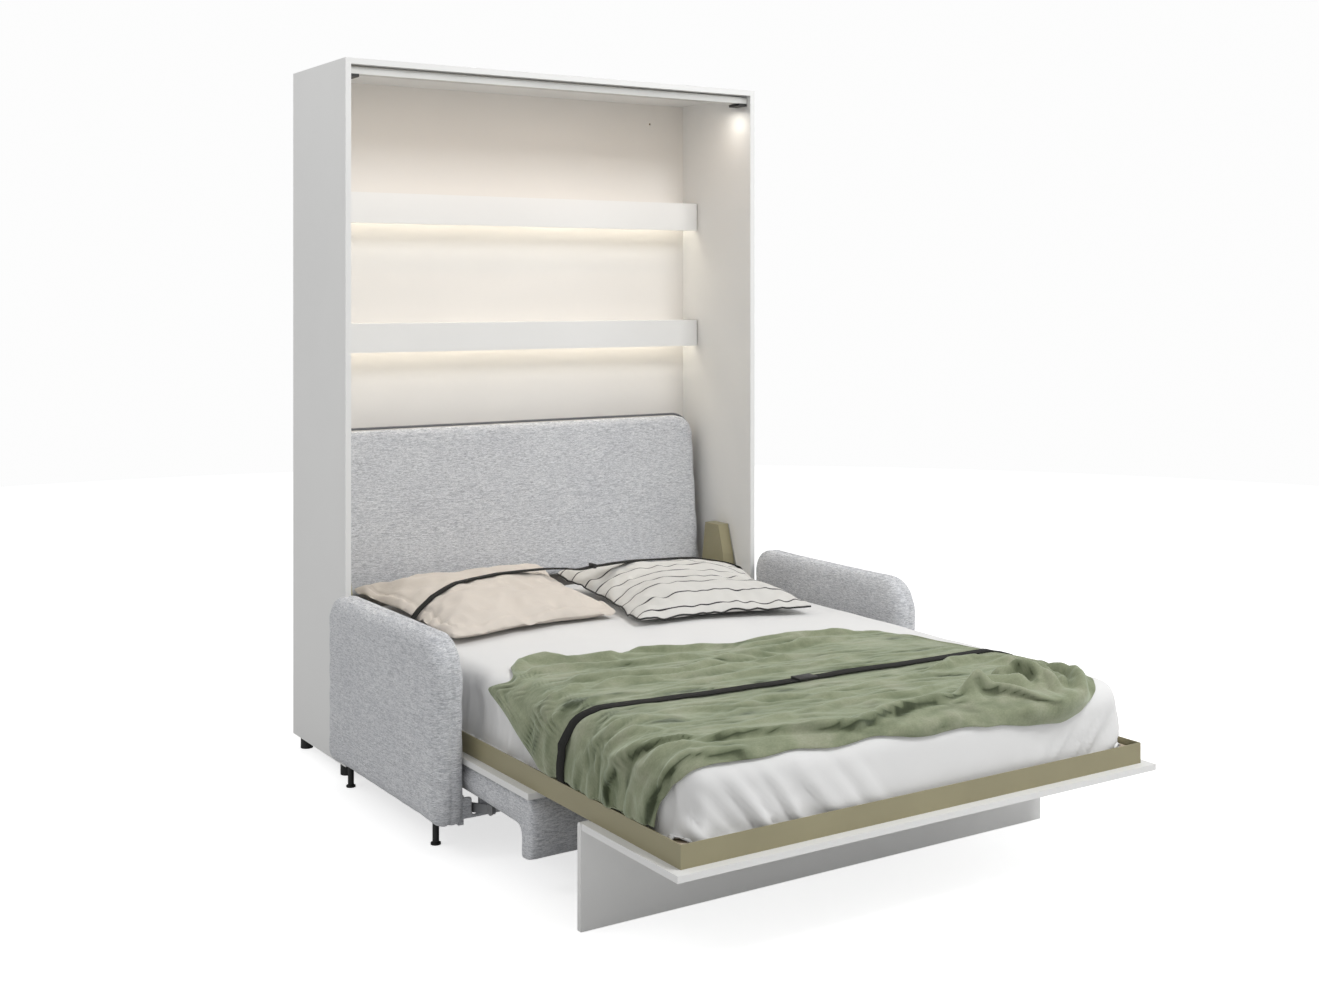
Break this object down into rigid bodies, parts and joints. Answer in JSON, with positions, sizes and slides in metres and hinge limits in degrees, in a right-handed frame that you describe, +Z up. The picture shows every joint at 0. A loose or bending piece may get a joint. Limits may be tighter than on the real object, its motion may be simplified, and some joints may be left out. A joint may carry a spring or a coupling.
{
  "type": "wall bed with sofa",
  "caption": "Vertical fold-down wall bed with an upholstered sofa under it, shown open as a bed with bedding.",
  "frame": {"origin": "middle of the footprint, on the floor", "axes": "+X to the bed's right as seen from its foot, +Y towards the wall, +Z up"},
  "size_m": [1.66, 2.241, 2.19],
  "materials": {
    "white_laminate": "matt white melamine faced board",
    "back_laminate": "warm white board",
    "batten_wood": "raw softwood",
    "slat_wood": "bent beech plywood",
    "olive_paint": "satin olive powder coat",
    "rail_metal": "satin anodised",
    "steel": "satin zinc plated",
    "strut_black": "satin black",
    "black_plastic": "matt black",
    "led_diffuser": "opal, lit warm white",
    "grey_upholstery": "light grey melange weave",
    "mattress_ticking": "white cotton sheet over foam",
    "pillow_beige": "washed beige cotton",
    "pillow_white": "white cotton with fine dark stripes",
    "throw_green": "sage green brushed cotton",
    "strap_webbing": "black webbing"
  },
  "bodies": {
    "cabinet": {"side_panel_left": "white_laminate", "side_panel_right": "white_laminate", "top_panel": "white_laminate", "bottom_panel": "white_laminate", "back_panel": "back_laminate", "wall_batten_lower": "batten_wood", "wall_batten_upper": "batten_wood", "cabinet_feet": "black_plastic", "shelf_upper_board": "white_laminate", "shelf_upper_fascia": "white_laminate", "shelf_lower_board": "white_laminate", "shelf_lower_fascia": "white_laminate", "led_strip_upper": "led_diffuser", "led_strip_lower": "led_diffuser", "top_rail": "rail_metal", "corner_lamp_left": "black_plastic", "corner_lamp_right": "black_plastic", "headboard_panel": "grey_upholstery", "headboard_board": "white_laminate", "headboard_brackets": "batten_wood", "pivot_plate_left": "steel", "pivot_plate_right": "steel", "strut_housing_left": "olive_paint", "strut_housing_right": "olive_paint", "arm_left": "grey_upholstery", "arm_right": "grey_upholstery", "arm_feet": "black_plastic", "base_front_rail": "grey_upholstery", "base_rear_rail": "batten_wood", "base_side_left": "batten_wood", "base_side_right": "batten_wood"},
    "strut_cylinders": {"strut_cylinder_left": "strut_black", "strut_cylinder_right": "strut_black"},
    "strut_rods": {"strut_rod_left": "steel", "strut_rod_right": "steel"},
    "bed": {"frame_side_left": "olive_paint", "frame_side_right": "olive_paint", "frame_head_rail": "olive_paint", "frame_foot_rail": "olive_paint", "cross_members": "olive_paint", "slats": "slat_wood", "slat_holder_left": "black_plastic", "slat_holder_right": "black_plastic", "front_panel_lower": "white_laminate", "front_panel_upper": "white_laminate", "leg_hinge_brackets": "steel", "mattress": "mattress_ticking", "pillow_left": "pillow_beige", "pillow_right": "pillow_white", "throw": "throw_green", "strap_head": "strap_webbing", "strap_foot": "strap_webbing", "sofa_backrest": "grey_upholstery"},
    "leg": {"leg_panel": "white_laminate", "leg_pins": "steel"},
    "front_links": {"front_links": "strut_black"},
    "seat": {"seat_cushion": "grey_upholstery", "seat_board": "batten_wood", "seat_lugs": "steel"},
    "rear_links": {"rear_links": "strut_black"}
  },
  "joints": [
    {"name": "bed_fold", "type": "hinge", "parent": "cabinet", "child": "bed", "pos_m": [0, 0.7365, 0.303], "axis": [-1, 0, 0], "range_deg": [0, 90], "deforming": ["pillow_left", "pillow_right", "strap_head"]},
    {"name": "leg_fold", "type": "hinge", "parent": "bed", "child": "leg", "pos_m": [0, -0.7065, 0.2445], "axis": [1, 0, 0], "range_deg": [0, 90]},
    {"name": "front_link_turn", "type": "hinge", "parent": "cabinet", "child": "front_links", "pos_m": [0, 0.0505, 0.085], "axis": [-1, 0, 0], "range_deg": [0, 98]},
    {"name": "seat_level", "type": "hinge", "parent": "front_links", "child": "seat", "pos_m": [0, -0.19404, 0.13698], "axis": [1, 0, 0], "range_deg": [0, 98]},
    {"name": "rear_link_turn", "type": "hinge", "parent": "cabinet", "child": "rear_links", "pos_m": [0, 0.4205, 0.085], "axis": [-1, 0, 0], "range_deg": [0, 98]},
    {"name": "strut_turn", "type": "hinge", "parent": "cabinet", "child": "strut_cylinders", "pos_m": [0, 0.8355, 0.6], "axis": [-1, 0, 0], "range_deg": [0, 27.72]},
    {"name": "strut_slide", "type": "slide", "parent": "strut_cylinders", "child": "strut_rods", "axis": [0, 0.2282, -0.9736], "range_m": [0, 0.158]}
  ],
  "couplings": [
    {"joint": "leg_fold", "follows": "bed_fold", "ratio": 1},
    {"joint": "front_link_turn", "follows": "bed_fold", "ratio": 1.0888},
    {"joint": "seat_level", "follows": "bed_fold", "ratio": 1.0888},
    {"joint": "rear_link_turn", "follows": "bed_fold", "ratio": 1.0888},
    {"joint": "strut_turn", "follows": "bed_fold", "ratio": 0.30792},
    {"joint": "strut_slide", "follows": "bed_fold", "m_per_rad": 0.1005}
  ]
}
